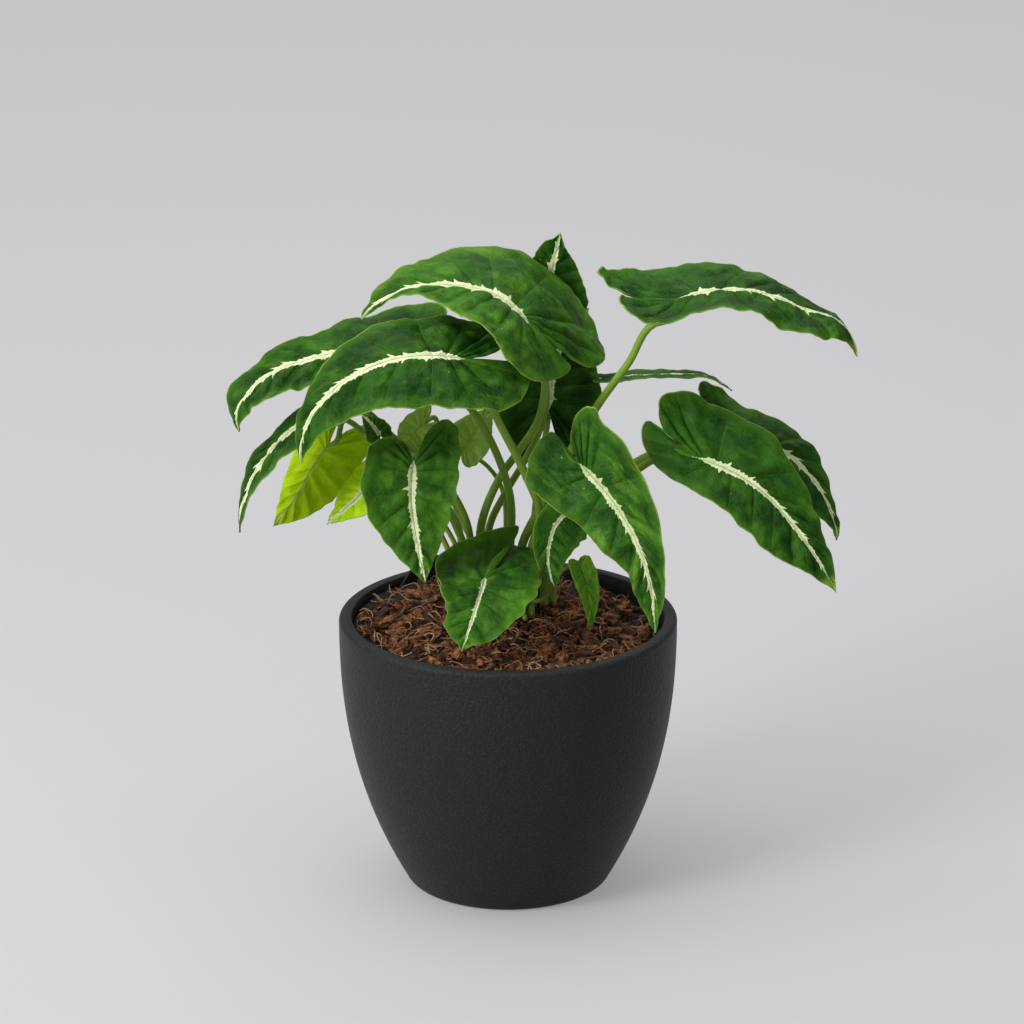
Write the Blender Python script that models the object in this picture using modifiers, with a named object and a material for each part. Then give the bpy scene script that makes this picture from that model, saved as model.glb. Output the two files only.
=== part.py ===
"""Potted syngonium: a planter, the nursery pot inside it, soil, rooted stems, and leaves on stalks.

Metres, +Z up. The origin is the centre of the planter's flat base, and -Y is the plant's front.
Lengths in the tables below are millimetres, as they would be measured on the plant.
"""

import math
from collections import namedtuple

import bmesh
import bpy
import numpy as np

MM = 0.001
GAP = 0.3

# Planter
RIM_RADIUS = 75.0
PLANTER_HEIGHT = 124.0
TAPER = 32.7
TAPER_POWER = 2.3
WALL = 5.7
FLOOR = 7.0
RIM_ROUND = 2.0
RIM_BEVEL = 0.5
FOOT_ROUND = 3.0
INSIDE_HEIGHTS = (FLOOR, 20, 36, 56, 80, 102)
OUTSIDE_HEIGHTS = (106, 88, 70, 54, 40, 27, 15, 6)
ROUND_STEPS = 3
PLANTER_STEPS = 48

# Nursery pot
LINER_TOP = 114.0
LINER_FOOT_RADIUS = 40.0
LINER_WALL = 1.0
LINER_CLEARANCE = 1.2
LINER_MIDDLE = 60.0
LINER_STEPS = 48
LUG_RISE = 17.0
LUG_CENTRE = math.radians(112)
LUG_HALF_WIDTH = math.radians(27)
LUG_SLOPE = 3
DRAIN_RADIUS = 4.0
DRAIN_RING = 26.0
DRAIN_COUNT = 6
HOLE_STEPS = 12

# Soil
SOIL_LEVEL = 117.2
SOIL_TILT_X = -0.04
SOIL_TILT_Y = 0.05
SOIL_CROWN = 2.5
SOIL_CROWN_SPREAD = 28.0
CROWN_CENTRE = (-2.0, 22.0)
SOIL_RINGS = (0.2, 0.4, 0.6, 0.8, 1.0)

# Stems and stalks
STEM_RADIUS = 3.6
STEM_TOP_RADIUS = 2.0
STEM_RISE = 16.0
STEM_DEPTH = 26.0
STEM_ROOT_SHARE = 0.7
STEM_STEPS = 12
RING_RADIUS = 6.0
STALK_POINTS = 11
STALK_FOOT_RISE = 9.0
STALK_FOOT_WIDTH = 1.12
STALK_TAPER = 0.3

# Leaf blades
BLADE_THICKNESS = 0.5
RIB_STEPS = 101
ACROSS = np.array([0.0, 0.5, 1.0])

# Half of a flat blade: margin along the midrib in blade lengths, margin across in half widths, and
# where on the midrib the vein that ends there starts. The lobes lie behind the notch, at x < 0.
OUTLINE = np.array([
    (0.00, 0.00, 0.000), (-0.09, 0.06, 0.012), (-0.19, 0.14, 0.024), (-0.265, 0.30, 0.036),
    (-0.28, 0.50, 0.050), (-0.23, 0.70, 0.070), (-0.12, 0.87, 0.110), (0.06, 0.98, 0.170),
    (0.24, 0.99, 0.250), (0.42, 0.87, 0.360), (0.59, 0.68, 0.490), (0.74, 0.46, 0.640),
    (0.87, 0.24, 0.790), (0.95, 0.09, 0.910), (1.00, 0.00, 1.000),
])
LOBE_SHARE = 0.28

GREEN = (0.045, 0.13, 0.03)
BACKLIT = (0.22, 0.38, 0.03)
PALE = (0.36, 0.52, 0.12)
STALK_GREEN = (0.12, 0.26, 0.04)
STEM_GREEN = (0.16, 0.2, 0.05)
SOIL_BROWN = (0.08, 0.04, 0.02)
CHARCOAL = (0.045, 0.046, 0.048)
BLACK = (0.012, 0.012, 0.012)

# A bend in degrees that is too small to see, so that a straight half can be worked out as an arc.
LEAST_BEND = 1e-4

# rib: midrib points from the notch to the tip. face, tip_face: which way the upper side looks there.
# half, lobe, fold, tip_fold, drop, splay, curl: left then right, seen from above with the tip away.
# half: width of that half. lobe: how far it reaches behind the notch. fold, tip_fold: degrees that it
# rises from the midrib. drop: degrees that its lobe bends down. splay: how far its lobe leans out.
# curl: degrees that it bends up towards its margin.
Leaf = namedtuple(
    "Leaf",
    "name rib face tip_face half lobe fold tip_fold drop splay curl colour",
    defaults=[(0, 0), (0, 0), (0, 0), (0.1, 0.1), (0, 0), GREEN],
)
LEAVES = [
    Leaf("leaf_top_left", [(9, -8, 262), (-6, -4, 274), (-26, 0, 277), (-49, -2, 274), (-64, -8, 264)],
         (0.1, -0.25, 1), (-0.5, -0.4, 1), (25, 33), (26, 40), (4, 4), (4, 4), (10, 10), (-0.4, 0.2),
         (-5, -20)),
    Leaf("leaf_front_left",
         [(-19, -32, 253), (-53, -39, 254), (-76, -44, 242), (-88, -48, 225), (-89, -50, 212)],
         (0, -0.45, 0.9), (-0.7, -0.6, 0.4), (28, 26), (29, 28), (-8, 0), (-8, 0), (5, -15), (-0.1, 0.3),
         (0, -10)),
    Leaf("leaf_left", [(-54, 12, 246), (-84, 6, 242), (-106, 0, 235), (-118, -6, 222), (-118, -8, 212)],
         (0, -0.3, 0.95), (-0.9, -0.6, 0.3), (24, 25), (22, 30), (-5, -5), (-5, 0), (10, -20)),
    Leaf("leaf_low_left", [(-80, 0, 220), (-98, -5, 209), (-113, -12, 190), (-118, -15, 168)],
         (-0.5, -0.3, 0.8), (-0.8, -0.3, 0.5), (17, 15), (15, 15), drop=(10, 10)),
    Leaf("leaf_backlit_left", [(-79, 22, 197), (-87, 18, 186), (-93, 14, 176), (-104, 8, 163)],
         (-0.1, 0.95, 0.1), (-0.1, 0.95, 0.1), (14, 19), (12, 16), (30, 0), (30, 0), (10, 10),
         colour=BACKLIT),
    Leaf("leaf_small_left", [(-57, 12, 185), (-65, 10, 177), (-75, 6, 169), (-80, 5, 165)],
         (-0.4, -0.6, 0.5), (-0.4, -0.6, 0.5), (12, 12), (8, 8), colour=BACKLIT),
    Leaf("leaf_front_heart", [(-41, -18, 202), (-42, -24, 188), (-40, -30, 172), (-36, -38, 153)],
         (0, -0.95, 0.3), (0, -0.95, 0.3), (20, 22), (20, 10), (5, 5), (5, 5)),
    Leaf("leaf_front_low", [(-10, -23, 150), (-14, -47, 144), (-20, -62, 130)],
         (0, -0.42, 0.9), (0.1, -0.5, 0.9), (25, 22), (16, 31), (5, 5), (5, 5), (10, -25), (0.3, -0.8)),
    Leaf("leaf_front_right", [(31, -22, 202), (42, -29, 192), (59, -40, 164), (64, -42, 131)],
         (-0.4, -0.8, 0.5), (-0.4, -0.8, 0.5), (20, 26), (20, 28), (30, 5), (30, 5), splay=(0.1, 0.2)),
    Leaf("leaf_right", [(82, -16, 203), (111, -27, 191), (127, -34, 174), (143, -42, 150)],
         (0.2, -0.7, 0.7), (0.3, -0.7, 0.6), (22, 24), (30, 28), (5, 0), (5, 0), (-10, -10), (0.3, -0.6)),
    Leaf("leaf_right_back", [(101, 10, 204), (122, 2, 199), (138, -4, 183), (145, -8, 162)],
         (0.3, -0.5, 0.8), (0.5, -0.5, 0.6), (17, 22), (34, 22), drop=(-20, 0), splay=(0.4, 0.1)),
    Leaf("leaf_top_right", [(75, 0, 271), (106, -2, 275), (129, -5, 268), (146, -7, 261), (152, -9, 247)],
         (0, -0.1, 1), (0.3, -0.2, 1), (28, 22), (38, 20), (8, 0), (-45, -20), (-60, -10), (0, 0)),
    Leaf("leaf_top", [(14, 30, 257), (19, 27, 276), (23, 24, 294)],
         (0, -0.95, 0.3), (0, -0.95, 0.3), (14, 14), (10, 10)),
    Leaf("leaf_edge_on", [(46, 30, 225), (66, 28, 227), (90, 26, 226), (99, 24, 221)],
         (0, 0.25, 0.96), (0, 0.25, 0.96), (11, 11), (8, 8)),
    Leaf("leaf_back", [(18, 42, 206), (19, 44, 218), (29, 51, 243), (36, 53, 250)],
         (0, -0.95, 0.3), (0, -0.95, 0.3), (23, 23), (22, 22)),
    Leaf("leaf_back_pale", [(-38, 35, 201), (-42, 37, 196), (-47, 39, 182)],
         (0, -0.95, 0.3), (0, -0.95, 0.3), (14, 8), (10, 10), colour=PALE),
    Leaf("leaf_back_young", [(-20, 26, 193), (-15, 29, 200), (-7, 33, 210)],
         (0, -0.95, 0.3), (0, -0.95, 0.3), (10, 10), (6, 6), colour=PALE),
    Leaf("leaf_curled", [(-56, -4, 209), (-59, -8, 215), (-64, -10, 221)],
         (0, -0.95, 0.3), (0, -0.95, 0.3), (6, 6), (4, 4)),
    Leaf("leaf_low_centre", [(27, -2, 174), (21, -6, 168), (18, -10, 160), (21, -20, 143)],
         (0.1, -0.95, 0.3), (0.1, -0.95, 0.3), (14, 9), (6, 6)),
    Leaf("leaf_low_right", [(31, -12, 153), (35, -20, 143), (36, -28, 127)],
         (0, -0.95, 0.3), (0, -0.95, 0.3), (5, 6), (5, 5)),
]

STEMS = {"stem_left": (-16, 22), "stem_back": (-3, 32), "stem_right": (14, 26), "stem_front": (4, 10)}

# stem, bearing: which stem the stalk grows from, and in which direction from it, in degrees from +X.
# way: points that the stalk passes on its way to the notch of its leaf.
Stalk = namedtuple("Stalk", "leaf stem bearing radius way")
STALKS = [
    Stalk("leaf_top_left", "stem_left", 40, 1.8,
          [(-12, 23, 158), (-3, 22, 182), (5, 18, 195), (14, 9, 214), (12, -2, 248)]),
    Stalk("leaf_front_left", "stem_front", 50, 1.8,
          [(8, 11, 148), (11, 7, 170), (5, 0, 189), (-1, -10, 215), (-11, -22, 235)]),
    Stalk("leaf_left", "stem_back", 300, 1.8,
          [(1, 20, 150), (1, 17, 173), (-3, 15, 189), (-22, 14, 222)]),
    Stalk("leaf_low_left", "stem_left", 100, 1.6,
          [(-19, 16, 164), (-30, 12, 185), (-50, 8, 204), (-68, 4, 219)]),
    Stalk("leaf_backlit_left", "stem_left", 150, 1.5,
          [(-23, 20, 161), (-39, 18, 182), (-60, 18, 200), (-73, 20, 208)]),
    Stalk("leaf_small_left", "stem_left", 205, 1.3, [(-28, 16, 152), (-40, 14, 174)]),
    Stalk("leaf_front_heart", "stem_left", 320, 1.7, [(-18, 10, 150), (-27, 0, 175), (-34, -8, 192)]),
    Stalk("leaf_front_low", "stem_front", 250, 1.6, [(-5, -6, 137)]),
    Stalk("leaf_front_right", "stem_front", 355, 1.8, [(15, 5, 155), (20, 5, 172), (25, 1, 186)]),
    Stalk("leaf_right", "stem_right", 290, 1.8,
          [(20, 14, 146), (36, 9, 172), (57, 0, 192), (66, -6, 199)]),
    Stalk("leaf_right_back", "stem_right", 345, 1.8,
          [(24, 20, 146), (38, 15, 173), (62, 11, 195), (82, 13, 200)]),
    Stalk("leaf_top_right", "stem_right", 200, 2.0,
          [(6, 15, 150), (16, 13, 173), (28, 10, 200), (38, 8, 220), (50, 5, 240)]),
    Stalk("leaf_top", "stem_back", 200, 1.6,
          [(-8, 28, 157), (-1, 28, 172), (8, 28, 188), (16, 27, 207), (17, 31, 235)]),
    Stalk("leaf_edge_on", "stem_right", 40, 1.4, [(20, 31, 160), (35, 32, 203)]),
    Stalk("leaf_back", "stem_right", 110, 1.6, [(12, 34, 160), (16, 37, 190)]),
    Stalk("leaf_back_pale", "stem_back", 150, 1.4, [(-18, 36, 150), (-31, 41, 183)]),
    Stalk("leaf_back_young", "stem_back", 90, 1.1, [(-1, 36, 150), (-5, 33, 177), (-15, 29, 188)]),
    Stalk("leaf_curled", "stem_left", 262, 1.1, [(-22, 11, 150), (-38, 7, 180), (-50, 1, 202)]),
    Stalk("leaf_low_centre", "stem_right", 245, 1.3, [(13, 12, 142), (22, 6, 162)]),
    Stalk("leaf_low_right", "stem_front", 310, 1.0, [(14, 2, 130), (25, -4, 147)]),
]


def unit(vectors):
    return vectors / np.linalg.norm(vectors, axis=-1, keepdims=True)


def through(points, at):
    """Points of a smooth curve through the given points, at fractions of the way along it."""
    points = np.asarray(points, float)
    steps = np.linalg.norm(np.diff(points, axis=0), axis=1)
    knots = np.concatenate([[0], np.cumsum(steps)]) / steps.sum()
    slopes = np.gradient(points, knots, axis=0, edge_order=2 if len(points) > 2 else 1)
    start = np.clip(np.searchsorted(knots, at, side="right") - 1, 0, len(points) - 2)
    span = (knots[start + 1] - knots[start])[:, None]
    s = (at - knots[start])[:, None] / span
    return (
        (2 * s**3 - 3 * s**2 + 1) * points[start]
        + (s**3 - 2 * s**2 + s) * span * slopes[start]
        + (3 * s**2 - 2 * s**3) * points[start + 1]
        + (s**3 - s**2) * span * slopes[start + 1]
    )


class Midrib:
    """The curve that a blade grows along, with its direction and the way that its upper side looks."""

    def __init__(self, leaf):
        at = np.linspace(0, 1, RIB_STEPS)
        points = through(leaf.rib, at)
        run = np.concatenate([[0], np.cumsum(np.linalg.norm(np.diff(points, axis=0), axis=1))])
        self.length = run[-1]
        self.at = at
        self.points = np.stack([np.interp(at, run / run[-1], column) for column in points.T], 1)
        self.along = unit(np.gradient(self.points, axis=0))
        face = np.outer(1 - at, leaf.face) + np.outer(at, leaf.tip_face)
        self.up = unit(face - (face * self.along).sum(1, keepdims=True) * self.along)

    def read(self, values, at):
        return np.stack([np.interp(at, self.at, column) for column in values.T], -1)


def half_blade(leaf, side):
    """One half of a blade as a grid of points, in rows from the notch to the tip, midrib first."""
    rib = Midrib(leaf)
    x, y, root = OUTLINE.T
    behind = np.clip(-x, 0, None) / LOBE_SHARE * leaf.lobe[side]
    x = np.where(x < 0, -behind / rib.length, x)
    y = y * leaf.half[side] + leaf.splay[side] * behind**2 / leaf.lobe[side]
    x = root[:, None] + (x - root)[:, None] * ACROSS
    y = y[:, None] * ACROSS

    at = np.clip(x, 0, 1)
    middle = rib.read(rib.points, at)
    along = unit(rib.read(rib.along, at))
    up = unit(rib.read(rib.up, at))
    out = np.cross(up, along) * (1 - 2 * side)

    back = np.clip(-x, 0, None)[..., None] * rib.length
    rate = math.radians(leaf.drop[side] + LEAST_BEND) / leaf.lobe[side]
    middle = middle - along * np.sin(rate * back) / rate - up * (1 - np.cos(rate * back)) / rate
    up = up * np.cos(rate * back) - along * np.sin(rate * back)

    fold = np.radians(leaf.fold[side] * (1 - at) + leaf.tip_fold[side] * at)
    bend = math.radians(leaf.curl[side] + LEAST_BEND)
    reach = y / leaf.half[side]
    outward = (np.sin(fold + bend * reach) - np.sin(fold)) / bend * leaf.half[side]
    upward = (np.cos(fold) - np.cos(fold + bend * reach)) / bend * leaf.half[side]
    return middle + out * outward[..., None] + up * upward[..., None]


def stitch(mesh, rows):
    """Faces between neighbouring rows of bmesh vertices. A row may close to a point."""
    for near, far in zip(rows, rows[1:]):
        for corners in zip(near, far, far[1:], near[1:]):
            corner_set = list(dict.fromkeys(corners))
            if len(corner_set) > 2:
                mesh.faces.new(corner_set)


def material(name, colour, roughness):
    made = bpy.data.materials.new(name)
    made.use_nodes = True
    shader = made.node_tree.nodes["Principled BSDF"]
    shader.inputs["Base Color"].default_value = (*colour, 1)
    shader.inputs["Roughness"].default_value = roughness
    return made


def place(name, data, made_of, collection):
    obj = bpy.data.objects.new(name, data)
    data.materials.append(made_of)
    collection.objects.link(obj)
    return obj


def blade(leaf, collection):
    """A leaf blade: two halves that share the midrib, given their thickness by Solidify."""
    mesh = bmesh.new()
    left, right = half_blade(leaf, 0), half_blade(leaf, 1)
    rib = [mesh.verts.new(point * MM) for point in left[:, 0]]
    for side, half in enumerate((left, right)):
        rows = [[rib[0]] * len(ACROSS)]
        for near, row in zip(rib[1:-1], half[1:-1]):
            rows.append([near] + [mesh.verts.new(point * MM) for point in row[1:]])
        rows.append([rib[-1]] * len(ACROSS))
        stitch(mesh, rows if side else [row[::-1] for row in rows])
    data = bpy.data.meshes.new(leaf.name)
    mesh.to_mesh(data)
    mesh.free()
    data.shade_smooth()
    obj = place(leaf.name, data, material(leaf.name, leaf.colour, 0.4), collection)
    shell = obj.modifiers.new("Thickness", "SOLIDIFY")
    shell.thickness = BLADE_THICKNESS * MM
    shell.offset = 0
    return obj


def soil_height(x, y):
    dx, dy = x - CROWN_CENTRE[0], y - CROWN_CENTRE[1]
    heap = SOIL_CROWN * math.exp(-(dx * dx + dy * dy) / SOIL_CROWN_SPREAD**2)
    return SOIL_LEVEL + SOIL_TILT_X * x + SOIL_TILT_Y * y + heap


def stalk_line(stalk, leaf):
    """The stalk's centre line: up from beside its stem, along its way, and to the notch of its blade."""
    bearing = math.radians(stalk.bearing)
    stem_x, stem_y = STEMS[stalk.stem]
    x = stem_x + RING_RADIUS * math.cos(bearing)
    y = stem_y + RING_RADIUS * math.sin(bearing)
    foot = soil_height(x, y) + 3 * GAP
    rib = Midrib(leaf)
    up, along = rib.up[0], rib.along[0]
    below = BLADE_THICKNESS / 2 + GAP + 0.6 * stalk.radius
    end = rib.points[0] - up * below + along * stalk.radius * 0.5
    approach = end - unit(up * 0.8 + along * 0.6) * 4 * stalk.radius
    route = [(x, y, foot), (x, y, foot + STALK_FOOT_RISE), *stalk.way, approach, end]
    return through(route, np.sin(np.linspace(0, math.pi / 2, STALK_POINTS)))


def stalk_tube(stalk, leaf, collection):
    """A leaf stalk: a tube that is thicker at its foot, where it sheathes the stem."""
    name = stalk.leaf + "_stalk"
    data = bpy.data.curves.new(name, "CURVE")
    data.dimensions = "3D"
    data.bevel_depth = stalk.radius * MM
    data.bevel_resolution = 2
    data.use_fill_caps = True
    line = stalk_line(stalk, leaf)
    spline = data.splines.new("POLY")
    spline.points.add(len(line) - 1)
    for number, (point, position) in enumerate(zip(spline.points, line)):
        point.co = (*(position * MM), 1)
        point.radius = STALK_FOOT_WIDTH - STALK_TAPER * number / (len(line) - 1)
    place(name, data, material(name, STALK_GREEN, 0.45), collection)


def turned(name, profile, steps, made_of, collection):
    """A solid of revolution about Z. The profile runs down its outer side, from the axis to the axis."""
    data = bpy.data.meshes.new(name)
    points = [(radius * MM, 0, height * MM) for radius, height in profile]
    data.from_pydata(points, [(i, i + 1) for i in range(len(points) - 1)], [])
    obj = place(name, data, made_of, collection)
    screw = obj.modifiers.new("Turn", "SCREW")
    screw.steps = steps
    screw.render_steps = steps
    screw.use_merge_vertices = True
    screw.merge_threshold = 0.00005
    screw.use_smooth_shade = True
    return obj


def applied(obj):
    """The object with its modifiers made part of its own mesh."""
    graph = bpy.context.evaluated_depsgraph_get()
    data = bpy.data.meshes.new_from_object(obj.evaluated_get(graph))
    obj.modifiers.clear()
    obj.data = data
    return obj


def outer_radius(height):
    return RIM_RADIUS - TAPER * (1 - height / PLANTER_HEIGHT) ** TAPER_POWER


def quarter(centre_radius, centre_height, size, start, steps):
    """Points of a quarter circle, turning clockwise from the given angle."""
    angles = [start - math.pi / 2 * i / steps for i in range(steps + 1)]
    return [(centre_radius + size * math.cos(a), centre_height + size * math.sin(a)) for a in angles]


def planter(collection):
    inside = [(outer_radius(height) - WALL, height) for height in INSIDE_HEIGHTS]
    inner_rim = RIM_RADIUS - WALL
    outside = [(outer_radius(height), height) for height in OUTSIDE_HEIGHTS]
    profile = [(0, FLOOR)] + inside
    profile.append((inner_rim, PLANTER_HEIGHT - RIM_BEVEL))
    profile.append((inner_rim + RIM_BEVEL, PLANTER_HEIGHT))
    rim_centre = (RIM_RADIUS - RIM_ROUND, PLANTER_HEIGHT - RIM_ROUND)
    profile += quarter(*rim_centre, RIM_ROUND, math.pi / 2, ROUND_STEPS)
    profile += outside
    foot_radius = outer_radius(FOOT_ROUND)
    profile += quarter(foot_radius - FOOT_ROUND, FOOT_ROUND, FOOT_ROUND, 0, ROUND_STEPS)
    profile.append((0, 0))
    made_of = material("planter", CHARCOAL, 0.5)
    turned("planter", profile, PLANTER_STEPS, made_of, collection)


def liner_radius(height):
    """Outside radius of the nursery pot: a straight taper from its foot to just inside the planter."""
    foot = FLOOR + GAP
    top_radius = RIM_RADIUS - WALL - LINER_CLEARANCE
    return LINER_FOOT_RADIUS + (top_radius - LINER_FOOT_RADIUS) * (height - foot) / (LINER_TOP - foot)


def nursery_pot(collection, helpers):
    """A thin pot with drain holes and, at the back left, a raised grip lug on its rim."""
    foot = FLOOR + GAP
    floor_top = foot + LINER_WALL
    profile = [(0, floor_top), (liner_radius(floor_top) - LINER_WALL, floor_top)]
    heights = (LINER_MIDDLE, LINER_TOP - 1, LINER_TOP)
    profile += [(liner_radius(height) - LINER_WALL, height) for height in heights]
    profile += [(liner_radius(height), height) for height in (*heights[::-1], foot)]
    profile.append((0, foot))
    made_of = material("nursery_pot", BLACK, 0.45)
    pot = turned("nursery_pot", profile, LINER_STEPS, made_of, collection)
    applied(pot)
    for vertex in pot.data.vertices:
        if vertex.co.z > (LINER_TOP - 0.5) * MM:
            away = abs(math.atan2(vertex.co.y, vertex.co.x) - LUG_CENTRE) / LUG_HALF_WIDTH
            vertex.co.z += LUG_RISE * MM * min(1, max(0, 1 - away) * LUG_SLOPE)
    cutters = bmesh.new()
    for number in range(DRAIN_COUNT):
        angle = math.tau * number / DRAIN_COUNT
        centre = (DRAIN_RING * math.cos(angle), DRAIN_RING * math.sin(angle), foot)
        add_cylinder(cutters, centre, DRAIN_RADIUS, 6 * LINER_WALL)
    cut(pot, "drain_holes", cutters, helpers)


def add_cylinder(mesh, centre, radius, depth):
    """Adds an upright cylinder to a bmesh of cutters."""
    made = bmesh.ops.create_cone(
        mesh,
        cap_ends=True,
        segments=HOLE_STEPS,
        radius1=radius * MM,
        radius2=radius * MM,
        depth=depth * MM,
    )
    bmesh.ops.translate(mesh, vec=[value * MM for value in centre], verts=made["verts"])


def cut(obj, name, cutters, helpers):
    """Cuts a bmesh of cutters from an object, and keeps them as a hidden helper."""
    data = bpy.data.meshes.new(name)
    cutters.to_mesh(data)
    cutters.free()
    helper = bpy.data.objects.new(name, data)
    helper.hide_render = True
    helper.display_type = "WIRE"
    helpers.objects.link(helper)
    modifier = obj.modifiers.new("Cut", "BOOLEAN")
    modifier.operation = "DIFFERENCE"
    modifier.object = helper


def soil(collection, helpers):
    """The soil fills the nursery pot and is heaped at the plant's crown, with a hole round each stem."""
    bottom = FLOOR + LINER_WALL + 2 * GAP
    clear = LINER_WALL + 2 * GAP

    def edge(height):
        return liner_radius(height) - clear

    profile = [(0, LINER_TOP)] + [(edge(LINER_TOP) * share, LINER_TOP) for share in SOIL_RINGS]
    profile += [(edge(height), height) for height in (LINER_TOP - 1, LINER_MIDDLE, bottom)]
    profile.append((0, bottom))
    made_of = material("soil", SOIL_BROWN, 0.95)
    heap = turned("soil", profile, LINER_STEPS, made_of, collection)
    applied(heap)
    for vertex in heap.data.vertices:
        if vertex.co.z > (LINER_TOP - 0.5) * MM:
            vertex.co.z = soil_height(vertex.co.x / MM, vertex.co.y / MM) * MM
    cutters = bmesh.new()
    for x, y in STEMS.values():
        centre = (x, y, soil_height(x, y))
        add_cylinder(cutters, centre, STEM_RADIUS + GAP, 2 * (STEM_DEPTH + GAP))
    cut(heap, "stem_holes", cutters, helpers)


def stem(name, collection):
    """A short stem, rooted in the soil and tapering to its growing tip."""
    x, y = STEMS[name]
    ground = soil_height(x, y)
    profile = [
        (0, ground + STEM_RISE),
        (STEM_TOP_RADIUS, ground + STEM_RISE),
        (STEM_RADIUS, ground + STEM_RISE / 3),
        (STEM_RADIUS, ground - 2),
        (STEM_RADIUS * STEM_ROOT_SHARE, ground - STEM_DEPTH),
        (0, ground - STEM_DEPTH),
    ]
    made = turned(name, profile, STEM_STEPS, material(name, STEM_GREEN, 0.6), collection)
    made.location = (x * MM, y * MM, 0)
    return made


def clear_scene():
    for obj in list(bpy.data.objects):
        bpy.data.objects.remove(obj)


def main():
    clear_scene()
    parts = bpy.data.collections.new("potted_syngonium")
    helpers = bpy.data.collections.new("cutters")
    helpers.hide_render = True
    for collection in (parts, helpers):
        bpy.context.scene.collection.children.link(collection)
    planter(parts)
    nursery_pot(parts, helpers)
    soil(parts, helpers)
    for name in STEMS:
        stem(name, parts)
    leaves = {leaf.name: leaf for leaf in LEAVES}
    for leaf in LEAVES:
        blade(leaf, parts)
    for stalk in STALKS:
        stalk_tube(stalk, leaves[stalk.leaf], parts)


main()
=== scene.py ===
"""Looks of the potted syngonium: leaves, stalks, soil, pots, floor, light and camera.

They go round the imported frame. Metres, +Z up, -Y the plant's front. Lengths in the tables below are
millimetres, as in the part, and only the camera and the lights are in metres.
"""

import math
import random
from collections import namedtuple

import bpy
import numpy as np
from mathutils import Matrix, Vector, noise


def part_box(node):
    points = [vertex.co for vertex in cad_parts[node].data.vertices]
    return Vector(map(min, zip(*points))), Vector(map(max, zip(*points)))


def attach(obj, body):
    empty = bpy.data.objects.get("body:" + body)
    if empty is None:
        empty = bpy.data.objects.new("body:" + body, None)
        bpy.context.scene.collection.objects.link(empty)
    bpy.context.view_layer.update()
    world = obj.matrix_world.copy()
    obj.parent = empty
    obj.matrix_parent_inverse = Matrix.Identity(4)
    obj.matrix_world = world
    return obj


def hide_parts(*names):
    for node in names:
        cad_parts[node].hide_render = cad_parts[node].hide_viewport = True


MM = 0.001

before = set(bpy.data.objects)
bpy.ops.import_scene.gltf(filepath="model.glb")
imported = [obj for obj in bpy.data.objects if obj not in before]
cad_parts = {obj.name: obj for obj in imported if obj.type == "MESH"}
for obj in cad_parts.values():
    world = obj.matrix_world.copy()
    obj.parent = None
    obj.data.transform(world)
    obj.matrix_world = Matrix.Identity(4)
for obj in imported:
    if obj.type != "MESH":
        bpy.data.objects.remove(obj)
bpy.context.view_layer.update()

# Camera
LENS = 200
SENSOR = 36
AIM = (0.00175, 0.0, 0.1723)
DISTANCE = 2.507
ELEVATION = math.radians(19.07)

# Leaf blades. OUTLINE holds, for one half: how far along the midrib and out the margin is, in blade
# lengths and half widths, and where on the midrib the row that ends there starts.
BLADE_THICKNESS = 0.4
RIB_STEPS = 101
LEAST_ROWS = 30
ROWS_PER_MM = 1.5
LEAST_COLUMNS = 6
COLUMNS_PER_MM = 1.0
COLUMN_CROWDING = 0.85
OUTLINE = np.array([
    (0.00, 0.00, 0.000), (-0.06, 0.08, 0.006), (-0.17, 0.13, 0.013), (-0.25, 0.27, 0.021),
    (-0.28, 0.50, 0.032), (-0.23, 0.70, 0.046), (-0.12, 0.87, 0.070), (0.06, 0.98, 0.105),
    (0.24, 0.99, 0.165), (0.42, 0.87, 0.260), (0.59, 0.68, 0.385), (0.74, 0.46, 0.540),
    (0.87, 0.24, 0.710), (0.95, 0.09, 0.860), (1.00, 0.00, 1.000),
])
LOBE_SHARE = 0.28
LEAST_BEND = 1e-4
STATIONS = (0.28, 0.40, 0.52, 0.70, 0.86)
STATION_SPREAD = 0.11
NOTCH_STATION = 0.15
NOTCH_SPREAD = 0.08
NOTCH_START = 0.05
VEINS = 10
VEIN_DRIFT = 0.1
VEIN_DRIFT_RATE = 3.0
RIPPLE = 0.05
RIPPLE_RATE = 24.0
SCALLOP = 0.4

# A blade's relief
FULL_WIDTH = 44.0
RIB_FADE = 3
CREASE = 0.45
CREASE_WIDTH = 0.09
QUILT = 1.25
QUILT_LEVEL = 0.6
QUILT_REACH = 0.97
QUILT_POWER = 0.7
CHANNEL = 0.35
CHANNEL_WIDTH = 1.6
CRUMPLE = 1.7
CRUMPLE_RATE = 0.085
PUCKER = 0.95
PUCKER_RATE = 0.22
END_FADE = 0.08
LONG_WAVE = 2.2
LONG_WAVE_RATE = 7.0
SHORT_WAVE = 1.3
SHORT_WAVE_RATE = 17.0

# Stems and stalks
STEM_RADIUS = 3.6
STEM_TOP_RADIUS = 2.0
STEM_NARROWING = 0.8
STEM_LEVELS = (-6, 0, 5, 11, 16.0)
STEM_SIDES = 20
RING_RADIUS = 6.0
STALK_FOOT_RISE = 9.0
STALK_FOOT_WIDTH = 1.12
STALK_TAPER = 0.3
STALK_END = (0.97, 0.9, 0.7)
END_BELOW = 0.6
END_BEYOND = 0.5
BEND_UP = 0.8
BEND_ALONG = 0.6
STALK_RINGS = 48
STALK_SIDES = 16
BEND_RADII = 4
GAP = 0.3
FOOT_GAP = 3 * GAP

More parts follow.
